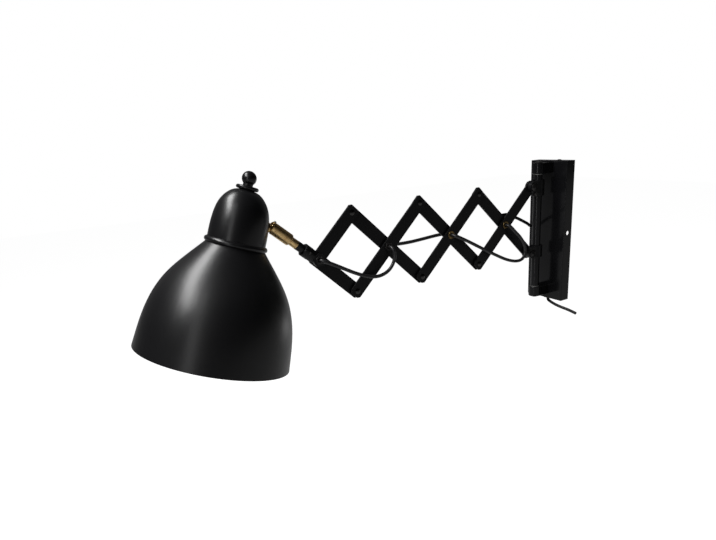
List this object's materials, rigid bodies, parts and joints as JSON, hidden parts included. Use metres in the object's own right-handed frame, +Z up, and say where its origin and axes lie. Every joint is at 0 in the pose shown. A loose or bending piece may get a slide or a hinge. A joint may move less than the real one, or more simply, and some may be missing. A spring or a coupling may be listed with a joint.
{
  "type": "accordion wall lamp",
  "caption": "Wall lamp with a bell-shaped metal shade on a folding scissor arm that swings on a rod in front of a flat wall box.",
  "frame": {"origin": "centre of the wall box's back face, which lies on the wall", "axes": "+Z up, -Y out of the wall along the arm, +Y into the wall"},
  "size_m": [0.1694, 0.6238, 0.2517],
  "materials": {
    "black_paint": "satin black powder coat",
    "shade_paint": "satin black outside, pale inside",
    "blackened_steel": "blackened steel",
    "bright_steel": "bright zinc-plated steel",
    "brass": "aged satin brass",
    "brown_brass": "dark aged brass",
    "flex_cover": "black flexible sheath",
    "black_plastic": "moulded black plastic",
    "white_plastic": "moulded white plastic",
    "holder_insert": "white glazed insert"
  },
  "bodies": {
    "wall_mount": {"wall_box": "black_paint", "wall_strap": "bright_steel", "box_screws": "blackened_steel", "rod_lug_top": "black_paint", "rod_lug_bottom": "black_paint", "rod": "black_paint", "rod_rings": "bright_steel", "frame_screws": "blackened_steel", "stop_ring": "black_paint", "stop_ring_screw": "blackened_steel", "cord_bushes": "black_plastic", "terminal_block": "white_plastic", "flex_5": "flex_cover", "supply_lead": "flex_cover"},
    "upper_collar": {"swing_collar": "black_paint", "top_pivot_screw": "blackened_steel"},
    "sliding_collar": {"slide_collar": "black_paint", "slide_pivot_screw": "blackened_steel"},
    "front_bar_3": {"front_bar_3": "black_paint", "rivets_3": "blackened_steel", "washers_3": "blackened_steel", "eyelet_3": "brown_brass", "cord_clip": "black_paint", "cord_clip_screw": "bright_steel", "flex_4": "flex_cover"},
    "rear_bar_3": {"rear_bar_3": "black_paint"},
    "front_bar_2": {"front_bar_2": "black_paint", "rivets_2": "blackened_steel", "washers_2": "blackened_steel", "eyelet_2": "brown_brass", "flex_3": "flex_cover"},
    "rear_bar_2": {"rear_bar_2": "black_paint"},
    "front_bar_1": {"front_bar_1": "black_paint", "rivets_1": "blackened_steel", "washers_1": "blackened_steel", "eyelet_1": "blackened_steel", "flex_2": "flex_cover"},
    "rear_bar_1": {"rear_bar_1": "black_paint"},
    "front_half_bar": {"front_half_bar": "black_paint", "rivet_0": "blackened_steel", "washers_0": "blackened_steel", "flex_1": "flex_cover"},
    "rear_half_bar": {"rear_half_bar": "black_paint"},
    "head": {"head_fork": "black_paint", "head_eyelet": "blackened_steel", "fork_screw": "blackened_steel", "stem_tube": "black_paint", "flex_head": "flex_cover"},
    "swivel": {"swivel_body": "brass", "swivel_screw": "bright_steel"},
    "lampshade": {"ball_stud": "brass", "stud_nut": "bright_steel", "shade": "shade_paint", "cap": "black_paint", "neck_ring": "black_paint", "top_disc": "black_paint", "finial": "black_paint", "holder_nipple": "bright_steel", "holder_shell": "black_plastic", "holder_core": "holder_insert"}
  },
  "joints": [
    {"name": "arm_swing", "type": "hinge", "parent": "wall_mount", "child": "upper_collar", "pos_m": [0, -0.0385, 0.07072], "axis": [0, 0, 1], "range_deg": [-80, 80], "deforming": ["flex_5"]},
    {"name": "arm_fold", "type": "hinge", "parent": "upper_collar", "child": "front_bar_3", "pos_m": [0, -0.055, 0.07072], "axis": [1, 0, 0], "range_deg": [-19, 26], "deforming": ["flex_4"]},
    {"name": "crossing_3", "type": "hinge", "parent": "front_bar_3", "child": "rear_bar_3", "pos_m": [0, -0.10535, 0.0221], "axis": [1, 0, 0], "range_deg": [-52, 38]},
    {"name": "slide_pivot", "type": "hinge", "parent": "rear_bar_3", "child": "sliding_collar", "pos_m": [0, -0.055, -0.02652], "axis": [1, 0, 0], "range_deg": [-19, 26]},
    {"name": "upper_pivot_3", "type": "hinge", "parent": "rear_bar_3", "child": "front_bar_2", "pos_m": [0, -0.1557, 0.07072], "axis": [1, 0, 0], "range_deg": [-38, 52], "deforming": ["flex_3"]},
    {"name": "crossing_2", "type": "hinge", "parent": "front_bar_2", "child": "rear_bar_2", "pos_m": [0, -0.20605, 0.0221], "axis": [1, 0, 0], "range_deg": [-52, 38]},
    {"name": "upper_pivot_2", "type": "hinge", "parent": "rear_bar_2", "child": "front_bar_1", "pos_m": [0, -0.2564, 0.07072], "axis": [1, 0, 0], "range_deg": [-38, 52], "deforming": ["flex_2"]},
    {"name": "crossing_1", "type": "hinge", "parent": "front_bar_1", "child": "rear_bar_1", "pos_m": [0, -0.30674, 0.0221], "axis": [1, 0, 0], "range_deg": [-52, 38]},
    {"name": "upper_pivot_1", "type": "hinge", "parent": "rear_bar_1", "child": "front_half_bar", "pos_m": [0, -0.35709, 0.07072], "axis": [1, 0, 0], "range_deg": [-38, 52], "deforming": ["flex_1"]},
    {"name": "end_crossing", "type": "hinge", "parent": "front_half_bar", "child": "rear_half_bar", "pos_m": [0, -0.40744, 0.0221], "axis": [1, 0, 0], "range_deg": [-52, 38]},
    {"name": "head_pivot", "type": "hinge", "parent": "front_half_bar", "child": "head", "pos_m": [0, -0.40744, 0.0221], "axis": [1, 0, 0], "range_deg": [-26, 19]},
    {"name": "head_roll", "type": "hinge", "parent": "head", "child": "swivel", "pos_m": [0, -0.40744, 0.0221], "axis": [0, -0.7547, 0.6561], "range_deg": [-86, 86]},
    {"name": "head_tilt", "type": "hinge", "parent": "swivel", "child": "lampshade", "pos_m": [0, -0.45574, 0.06409], "axis": [1, 0, 0], "range_deg": [-30, 15]}
  ],
  "couplings": [
    {"joint": "crossing_3", "follows": "arm_fold", "ratio": -2},
    {"joint": "slide_pivot", "follows": "arm_fold", "ratio": 1},
    {"joint": "upper_pivot_3", "follows": "arm_fold", "ratio": 2},
    {"joint": "crossing_2", "follows": "arm_fold", "ratio": -2},
    {"joint": "upper_pivot_2", "follows": "arm_fold", "ratio": 2},
    {"joint": "crossing_1", "follows": "arm_fold", "ratio": -2},
    {"joint": "upper_pivot_1", "follows": "arm_fold", "ratio": 2},
    {"joint": "end_crossing", "follows": "arm_fold", "ratio": -2},
    {"joint": "head_pivot", "follows": "arm_fold", "ratio": -1}
  ]
}
